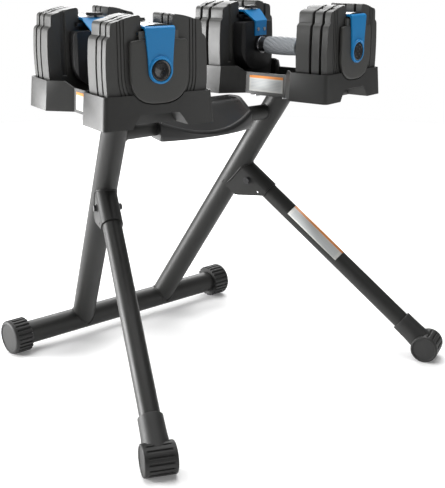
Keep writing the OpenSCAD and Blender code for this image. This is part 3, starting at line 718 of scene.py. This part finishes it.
def make_grip(side, shapes):
    """Barrel-shaped grip whose soft ridges wind round it: radius = barrel + ridge(angle, place)."""
    half = GRIP_HIGH[1]
    crest = (GRIP_HIGH[2] - GRIP_LOW[2]) / 2
    ends = crest - 1.5
    x = np.linspace(-1, 1, 61)
    barrel = ends + (crest - ends) * np.cos(x * pi / 2)
    lip = np.clip((1 - np.abs(x)) / 0.06, 0, 1)
    radius = barrel - 2.4 * (1 - np.sqrt(1 - (1 - lip) ** 2))
    profile = np.stack([radius, x * half], 1)
    profile = np.concatenate([[[13.0, -half]], profile, [[13.0, half]]]) * MM
    axis = from_tray([[0, 1, 0]], side)[0] - from_tray([[0, 0, 0]], side)[0]
    centre = from_tray([[0, 0, AXIS_Z]], side)[0]

    def ridge(angle, place):
        """A groove of smooth flanks between flat ridges, fading out near both ends."""
        along = place / (half * MM)
        turn = shapes.grip_ridges * (angle - shapes.grip_twist * along)
        groove = np.clip(0.35 + 0.95 * np.cos(turn), 0, 1) ** 1.2
        fade = np.clip((0.93 - np.abs(along)) / 0.12, 0, 1)
        return -0.0011 * groove * fade

    verts, faces = turned(profile, centre, axis, 216, ridge)
    body, node = f"{side}_handle", f"{side}_grip"
    new_piece(f"{node}_sleeve", verts, faces, FINISH["grip_grey"], body, [node])


# ---------- stand pieces ----------
def frame_facts():
    """Axis of the rear bar and directions of the uprights and legs, for the right side."""
    low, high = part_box("rear_foot_bar")
    radius = (high.z - low.z) / 2
    middle_y, bar_z = (low.y + high.y) / 2, (low.z + high.z) / 2
    lean, splay = UPRIGHT_LEAN, UPRIGHT_SPLAY
    up = np.array([sin(splay) * sin(lean), -cos(splay) * sin(lean), cos(lean)])
    foot = np.array([UPRIGHT_FOOT_X, middle_y, bar_z])
    drop, splay = LEG_DROP, LEG_SPLAY
    down = np.array([sin(splay) * cos(drop), -cos(splay) * cos(drop), -sin(drop)])
    join = foot + LEG_JOIN_UP * up
    return dict(radius=radius, foot=foot, up=up, join=join, down=down, splay=splay, drop=drop)


def meeting_curve(section, origin, frame_axes, main_origin, main_axis, main_radius, near=-1):
    """Where lines along a tube's axis, drawn through each section point (x, y), meet a main
    tube's surface: the nearer or farther root of |distance from the main axis| = radius."""
    x_axis, y_axis, direction = frame_axes
    start = origin + section[:, :1] * x_axis + section[:, 1:] * y_axis
    away = start - main_origin
    flat = away - (away @ main_axis)[:, None] * main_axis
    across = direction - (direction @ main_axis) * main_axis
    a = across @ across
    b = flat @ across
    c = (flat * flat).sum(1) - main_radius**2
    t = (-b + near * np.sqrt(np.clip(b * b - a * c, 0, None))) / a
    return start + t[:, None] * direction


def axes_for(direction):
    """Two directions square to a given one, and that one."""
    side = np.cross(direction, [0.0, 0.0, 1.0])
    side /= np.linalg.norm(side)
    return side, np.cross(side, direction), direction


def bead_section(radius, steps=10):
    """A round section."""
    t = np.linspace(0, 2 * pi, steps, endpoint=False)
    return np.stack([radius * np.cos(t), radius * np.sin(t)], 1)


def make_welds(shapes):
    """Weld beads where the uprights meet the rear bar, the crossbar the uprights, and the
    leg brackets the uprights."""
    facts = frame_facts()
    x_axis = np.array([1.0, 0.0, 0.0])
    circle = bead_section(1.0, 96)
    section = bead_section(shapes.bead * MM)
    parts = []
    cross_low, cross_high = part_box("crossbar")
    cross_mid = np.array([0.0, (cross_low.y + cross_high.y) / 2, (cross_low.z + cross_high.z) / 2])
    cross_r = (cross_high.z - cross_low.z) / 2
    sleeve = 0.0221
    t = np.linspace(0, pi, 40)
    cheek = np.linspace(-0.046, 0, 20, endpoint=False)
    saddle = np.concatenate(
        [
            np.stack([0 * cheek + sleeve, cheek], 1),
            np.stack([sleeve * np.cos(t), sleeve * np.sin(t)], 1),
            np.stack([0 * cheek - sleeve, cheek[::-1]], 1),
        ]
    )
    for sign in (1, -1):
        flip = np.array([sign, 1.0, 1.0])
        foot, up, join, down = (facts[k] * flip for k in ("foot", "up", "join", "down"))
        curve = meeting_curve(
            circle * facts["radius"], foot, axes_for(up), foot, x_axis, facts["radius"] + 0.0001, near=1
        )
        parts.append(sweep(curve, section, up, closed=True))
        along = x_axis * sign
        curve = meeting_curve(circle * cross_r, cross_mid, axes_for(along), foot, up, facts["radius"], near=-1)
        parts.append(sweep(curve, section, along, closed=True))
        splay = facts["splay"] * sign
        leg_x = np.array([cos(splay), sin(splay), 0.0])
        curve = meeting_curve(saddle, join, (leg_x, np.cross(down, leg_x), down), foot, up, facts["radius"], near=1)
        parts.append(sweep(curve, section * 0.8, down))
    verts, faces = joined(parts)
    new_piece("weld_beads", verts, faces, FINISH["charcoal_tube"], "stand")


def groove_wave(count, depth, low, high, sharp=(0.42, 0.8)):
    """Grooves along a rubber barrel: count of them round it, between two places along it."""

    def wave(angle, place):
        shape = 0.5 - 0.5 * np.cos(count * angle)
        cut = np.clip((shape - sharp[0]) / (sharp[1] - sharp[0]), 0, 1)
        cut = cut * cut * (3 - 2 * cut)
        soft = 0.0015
        window = np.clip((place - low) / soft, 0, 1) * np.clip((high - place) / soft, 0, 1)
        return -depth * cut * window

    return wave


def barrel_profile(radius, length, shoulder, dish, steps=28):
    """Radius and place of a barrel from its inner end, with a rounded outer shoulder and a
    dished end face, in mm."""
    t = np.linspace(0, pi / 2, 7)
    side = np.linspace(1.2, length - shoulder, steps)
    body = np.stack([0 * side + radius, side], 1)
    corner = np.stack([radius - shoulder * (1 - np.cos(t)), length - shoulder * (1 - np.sin(t))], 1)[1:]
    inner = radius - shoulder - 2.5
    face = [[inner + 1.2, length], [inner, length - dish], [inner * 0.6, length - dish], [0.02, length - dish]]
    return np.concatenate([[[radius - 1.2, 0.0]], body, corner, face])


def make_feet():
    """Ribbed rear caps, and front feet with a ribbed barrel across a sleeve."""
    facts = frame_facts()
    for side, sign in zip(SIDES, (-1, 1)):
        low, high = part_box(f"{side}_rear_cap")
        radius = (high.z - low.z) / 2 / MM
        size = (high.x - low.x) / MM
        inner_x = low.x if sign > 0 else high.x
        origin = [inner_x, facts["foot"][1], (high.z + low.z) / 2]
        body = barrel_profile(radius, size, 6.0, 1.4)
        profile = np.concatenate([[[20.0, 1.5], [26.0, 0.3]], body]) * MM
        wave = groove_wave(24, 0.0030, -0.002, (size - 7.5) * MM)
        verts, faces = turned(profile, origin, [sign, 0, 0], 288, wave)
        new_piece(
            f"{side}_cap_rubber", verts, faces, FINISH["rubber_feet"], "stand", [f"{side}_rear_cap"]
        )
        make_front_foot(side, sign, facts)


def make_front_foot(side, sign, facts):
    """A sleeve up the leg and a barrel across its end, both with dished ends; the barrel has grooves round it."""
    flip = np.array([sign, 1.0, 1.0])
    down = facts["down"] * flip
    barrel_r = 29.5
    reach = (facts["join"][2] - barrel_r * MM) / sin(facts["drop"])
    end = facts["join"] * flip + down * reach
    splay = facts["splay"] * sign
    across = np.array([cos(splay), sin(splay), 0.0])
    half = 30.0
    right = barrel_profile(barrel_r, half, 3.0, 1.6, 16)
    left = right[::-1] * [1, -1]
    keep = right[:, 1] > 1.0
    profile = np.concatenate([left[: len(left) - 1], right[keep]]) * MM
    wave = groove_wave(16, 0.0026, -0.0225, 0.0225, (0.62, 0.9))
    parts = [turned(profile, end, across, 256, wave)]
    t = np.linspace(0, pi / 2, 5)
    lip = np.stack([23.0 - 1.6 * (1 - np.sin(t)), -78 + 1.6 * (1 - np.cos(t))], 1)
    flare = [[23.2, -60], [23.6, -40], [25.0, -22], [25.5, -8], [0.5, -4]]
    sleeve = np.concatenate([[[18.0, -77.0]], lip, flare]) * MM
    parts.append(turned(sleeve, end, down, 72))
    verts, faces = joined(parts)
    new_piece(
        f"{side}_foot_rubber", verts, faces, FINISH["rubber_feet"], "stand", [f"{side}_front_foot"]
    )


def make_panel(shapes):
    """Centre panel: rings of its plan from the underside up the skirt, over a rounded lip and
    down into a shallow dish. The face is z = softmin(z0 + (y - y0) tan(48 deg), flat top)."""
    low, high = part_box("centre_panel")
    half, base, top = high.x / MM, -22.9, 44.0
    origin = np.array([0.0, low.y + 60 * MM, low.z - base * MM])
    t = np.linspace(-1, 1, 49)
    corners = np.concatenate(
        [np.stack([half * t, -35 - 25 * (1 - t * t)], 1), [[half - 17, 21.9], [17 - half, 21.9], [-half, -35]]]
    )
    gone = np.insert(np.cumsum(np.linalg.norm(np.diff(corners, axis=0), axis=1)), 0, 0)
    place = np.linspace(0, gone[-1], 281)[:-1]
    outline = np.stack([np.interp(place, gone, corners[:, k]) for k in (0, 1)], 1)
    outline = sum(np.roll(outline, k, 0) for k in range(-3, 4)) / 7

    def face(plan):
        """Height of the sloping face, rounded over into the flat top."""
        slope = -13.9 + (plan[:, 1] + 57.9) * sin(radians(48)) / cos(radians(48))
        return (slope + top - np.sqrt((slope - top) ** 2 + 36)) / 2

    def ring(plan, up):
        return np.insert(plan, 2, up, axis=1)

    rows = [ring(inset(outline, d), base + up) for d, up in ((2.0, 0.0), (0.6, 0.5), (0.0, 2.0))]
    edge = shapes.panel_edge
    rim = face(outline) - edge
    rows += [ring(outline, base + 2 + (rim - base - 2) * k) for k in (0.35, 0.7)]
    for angle in np.linspace(0, pi / 2, 6):
        plan = inset(outline, edge * (1 - cos(angle)))
        rows.append(ring(plan, face(plan) - edge * (1 - sin(angle))))
    for out, drop in ((1.6, 0.0), (2.6, 0.5), (3.8, 2.0), (4.8, 2.8), (6.0, 3.0)):
        plan = inset(outline, edge + out)
        rows.append(ring(plan, face(plan) - drop))
    middle = np.array([0.0, -16.0])
    dish = inset(outline, edge + 6.0)
    for share in np.linspace(0.94, 0.04, 20):
        plan = middle + (dish - middle) * share
        rows.append(ring(plan, face(plan) - 3.0 - 1.6 * (1 - share**2)))
    count = len(outline)
    faces = grid_faces(len(rows), count) + end_faces(len(rows), count)
    verts = np.concatenate(rows) * MM + origin
    new_piece("panel_shroud", verts, faces, FINISH["panel_plastic"], "stand", ["centre_panel"])


def label_sheet(name, corners_at, rows, cols, replaces=(), spread=1.0):
    """A thin film: corners_at(u, v) gives its outer face, and the UV map is (u, spread * v)."""
    u, v = np.meshgrid(np.linspace(0, 1, cols), np.linspace(0, 1, rows))
    verts = corners_at(u.ravel(), v.ravel())
    faces = grid_faces(rows, cols, wrap_cols=False)
    mesh = bpy.data.meshes.new(name)
    mesh.from_pydata(verts.tolist(), [], faces)
    layer = mesh.uv_layers.new(name="UVMap")
    order = np.zeros(len(mesh.loops), np.int32)
    mesh.loops.foreach_get("vertex_index", order)
    layer.data.foreach_set("uv", np.stack([u.ravel(), spread * v.ravel()], 1)[order].astype(np.float32).ravel())
    piece = dress(bpy.data.objects.new(name, mesh), FINISH["label_white"], "stand", replaces)
    film = piece.modifiers.new("Film", "SOLIDIFY")
    film.thickness = 0.0003
    film.offset = 0.0
    return piece


def make_labels():
    """A film on the left side of each tray's waist, and one along the right leg."""
    facts = frame_facts()
    waist, lean = 65.0, 2.72 / 57
    for index, side in enumerate(SIDES):

        def on_waist(u, v, side=side):
            """Flat on the leaning wall, a little proud of it."""
            up = 6 + 33 * v
            across = -(waist - lean * up) - 0.35
            return from_tray(np.stack([across, 41 - 86 * u, up], 1), side)

        label_sheet(f"{side}_tray_label", on_waist, 2, 2, ["labels"] if index == 0 else ())
    radius = LEG_RADIUS + 0.00035
    splay = facts["splay"]
    leg_x = np.array([cos(splay), sin(splay), 0.0])
    leg_y = np.cross(facts["down"], leg_x)

    def round_leg(u, v):
        """Wrapped round the leg: u runs down it and v round it."""
        angle = radians(178) - radians(104) * v
        ring = np.cos(angle)[:, None] * leg_x + np.sin(angle)[:, None] * leg_y
        return facts["join"] + radius * ring + (0.161 + 0.148 * u)[:, None] * facts["down"]

    label_sheet("leg_label", round_leg, 17, 2, spread=1.3)


# ---------- stage ----------
def make_stage():
    """A round pale floor that runs out into white, soft boxes at the left, above and behind,
    and the camera."""
    turn = np.linspace(0, 2 * pi, 96, endpoint=False)
    disc = np.stack([3.2 * np.cos(turn), 3.2 * np.sin(turn), 0 * turn - 0.0004], 1)
    mesh = bpy.data.meshes.new("floor")
    mesh.from_pydata(disc.tolist(), [], [list(range(len(turn)))])
    floor = bpy.data.objects.new("floor", mesh)
    bpy.context.scene.collection.objects.link(floor)
    material, _, shader, _ = new_material("floor_paper")
    shader.inputs["Base Color"].default_value = (0.94, 0.94, 0.94, 1)
    shader.inputs["Roughness"].default_value = 0.9
    shader.inputs["Specular IOR Level"].default_value = 0.1
    shader.inputs["Emission Color"].default_value = (1, 1, 1, 1)
    shader.inputs["Emission Strength"].default_value = 0.12
    mesh.materials.append(material)

    world = bpy.data.worlds.new("studio")
    world.use_nodes = True
    tree = world.node_tree
    background = tree.nodes["Background"]
    background.inputs["Color"].default_value = (1.0, 1.0, 1.0, 1)
    rays = add(tree, "ShaderNodeLightPath")
    soft = 0.16
    level = math(tree, "MULTIPLY_ADD", rays.outputs["Is Camera Ray"], 1.0 - soft)
    level.node.inputs[2].default_value = soft
    tree.links.new(level, background.inputs["Strength"])
    bpy.context.scene.world = world
    lights = (
        ("left_softbox", (-2.15, 1.9, 0.55), (0.0, 0.0, 0.45), 1.6, 1.4, 190),
        ("top_softbox", (0.1, 0.2, 3.0), (0.0, 0.0, 0.0), 3.0, 3.0, 98),
        ("rear_softbox", (2.2, 2.6, 1.9), (0.0, 0.0, 0.6), 2.6, 1.4, 100),
        ("front_fill", (1.6, -3.2, 0.9), (0.2, 0.0, 0.5), 1.6, 1.6, 14),
    )
    for name, where, aim, wide, high, power in lights:
        data = bpy.data.lights.new(name, "AREA")
        data.shape = "RECTANGLE"
        data.size, data.size_y, data.energy = wide, high, power
        lamp = bpy.data.objects.new(name, data)
        lamp.location = where
        lamp.rotation_euler = (Vector(aim) - Vector(where)).to_track_quat("-Z", "Y").to_euler()
        bpy.context.scene.collection.objects.link(lamp)

    camera = bpy.data.cameras.new("camera")
    camera.lens = 69.74
    eye = bpy.data.objects.new("camera", camera)
    eye.location = (-1.2331, -1.4594, 0.8519)
    eye.rotation_euler = (radians(90 - 17.07), 0.0, radians(-41.25))
    bpy.context.scene.collection.objects.link(eye)
    bpy.context.scene.camera = eye
    bpy.context.scene.view_settings.view_transform = "Standard"


# ---------- operators ----------
class DumbbellStage(bpy.types.Operator):
    """Make the floor, the lights and the camera."""

    bl_idname = "dumbbells.stage"
    bl_label = "Stage"

    def execute(self, context):
        make_stage()
        return {"FINISHED"}


class DumbbellFinishes(bpy.types.Operator):
    """Make every finish from the colours of the panel."""

    bl_idname = "dumbbells.finishes"
    bl_label = "Finishes"

    def execute(self, context):
        make_finishes(context.scene.dumbbell_colours)
        return {"FINISHED"}


class DumbbellFrame(bpy.types.Operator):
    """Finish the tubes, brackets and mounts, and add the weld beads."""

    bl_idname = "dumbbells.frame"
    bl_label = "Stand frame"

    def execute(self, context):
        for node in ("rear_foot_bar", "left_upright", "right_upright", "crossbar", "left_leg", "right_leg"):
            keep_node(node, "charcoal_tube")
        for side in SIDES:
            rounded_copy(f"{side}_leg_bracket", 0.7, FINISH["charcoal_tube"], "stand")
        rounded_copy("tray_mounts", 0.8, FINISH["charcoal_tube"], "stand")
        rounded_copy("leg_bolts", 0.5, FINISH["bolt_black"], "stand")
        make_welds(context.scene.dumbbell_shapes)
        return {"FINISHED"}


class DumbbellFeet(bpy.types.Operator):
    """Make the rubber rear caps and front feet."""

    bl_idname = "dumbbells.feet"
    bl_label = "Feet and caps"

    def execute(self, context):
        make_feet()
        return {"FINISHED"}


class DumbbellTrays(bpy.types.Operator):
    """Finish the trays, their screws, the centre panel and the labels."""

    bl_idname = "dumbbells.trays"
    bl_label = "Trays and panel"

    def execute(self, context):
        shapes = context.scene.dumbbell_shapes
        for side in SIDES:
            rounded_copy(f"{side}_tray", shapes.tray_edge, FINISH["tray_plastic"], "stand", 2, 33)
        make_panel(shapes)
        for node in ("tray_screws", "panel_screws"):
            keep_node(node, "screw_steel")
        make_labels()
        return {"FINISHED"}


class DumbbellPlates(bpy.types.Operator):
    """Round the plates' edges."""

    bl_idname = "dumbbells.plates"
    bl_label = "Weight plates"

    def execute(self, context):
        radius = context.scene.dumbbell_shapes.plate_edge
        for side in SIDES:
            for head, _ in HEADS:
                for ring in ("inner", "middle", "outer"):
                    node = f"{side}_{head}_{ring}_plate"
                    body = f"{side}_{ring}_plates"
                    rounded_copy(node, radius, FINISH["plate_iron"], body, 3)
        return {"FINISHED"}


class DumbbellHandles(bpy.types.Operator):
    """Make the grips and heads and finish the parts of the handles."""

    bl_idname = "dumbbells.handles"
    bl_label = "Handles"

    def execute(self, context):
        shapes = context.scene.dumbbell_shapes
        for side in SIDES:
            body = f"{side}_handle"
            make_grip(side, shapes)
            for head, sign in HEADS:
                make_head(side, head, sign, shapes)
                label = f"{side}_{head}"
                rounded_copy(f"{label}_housing", 1.4, FINISH["housing_black"], body, 3)
                rounded_copy(
                    f"{label}_selector", 0.7, FINISH["collar_black"], f"{label}_slide"
                )
            rounded_copy(f"{side}_necks", 1.0, FINISH["housing_black"], body)
            rounded_copy(f"{side}_bridges", 0.9, FINISH["bridge_blue"], body, 3)
            rounded_copy(f"{side}_collars", 0.7, FINISH["collar_black"], body)
            rounded_copy(f"{side}_rings", 0.7, FINISH["steel_bright"], body)
            keep_node(f"{side}_handle_bar", "steel_bright")
            keep_node(f"{side}_bridge_screws", "screw_steel")
            for part, node in (("end_shield", "end_shields"), ("scale", "scales"), ("cap", "end_caps")):
                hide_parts(f"{side}_{node}")
        return {"FINISHED"}


def keep_node(node, slot):
    """A CAD node that is shown as it is, with its finish."""
    piece = FRAME["nodes"][node]
    piece.data.materials.clear()
    piece.data.materials.append(FINISH[slot])


class DumbbellPanel(bpy.types.Panel):
    """Sidebar panel with every colour, size and step."""

    bl_label = "Docked dumbbells"
    bl_idname = "VIEW3D_PT_dumbbells"
    bl_space_type = "VIEW_3D"
    bl_region_type = "UI"
    bl_category = "Dumbbells"

    def draw(self, context):
        for settings in (context.scene.dumbbell_colours, context.scene.dumbbell_shapes):
            box = self.layout.box()
            for name in settings.__annotations__:
                box.prop(settings, name)
        for step in STEPS:
            self.layout.operator(step.bl_idname)


STEPS = (
    DumbbellStage,
    DumbbellFinishes,
    DumbbellFrame,
    DumbbellFeet,
    DumbbellTrays,
    DumbbellPlates,
    DumbbellHandles,
)
CLASSES = (FinishColours, ShapeSizes, DumbbellPanel, *STEPS)


def register():
    """Register the classes and put the settings on the scene."""
    for cls in CLASSES:
        bpy.utils.register_class(cls)
    bpy.types.Scene.dumbbell_colours = PointerProperty(type=FinishColours)
    bpy.types.Scene.dumbbell_shapes = PointerProperty(type=ShapeSizes)


def unregister():
    """Take the settings and the classes away."""
    del bpy.types.Scene.dumbbell_shapes
    del bpy.types.Scene.dumbbell_colours
    for cls in reversed(CLASSES):
        bpy.utils.unregister_class(cls)


def main():
    """Run every step in order."""
    register()
    for step in STEPS:
        group, name = step.bl_idname.split(".")
        result = getattr(getattr(bpy.ops, group), name)()
        if result != {"FINISHED"}:
            raise RuntimeError(f"{step.bl_label} did not finish")


if __name__ == "__main__":
    main()
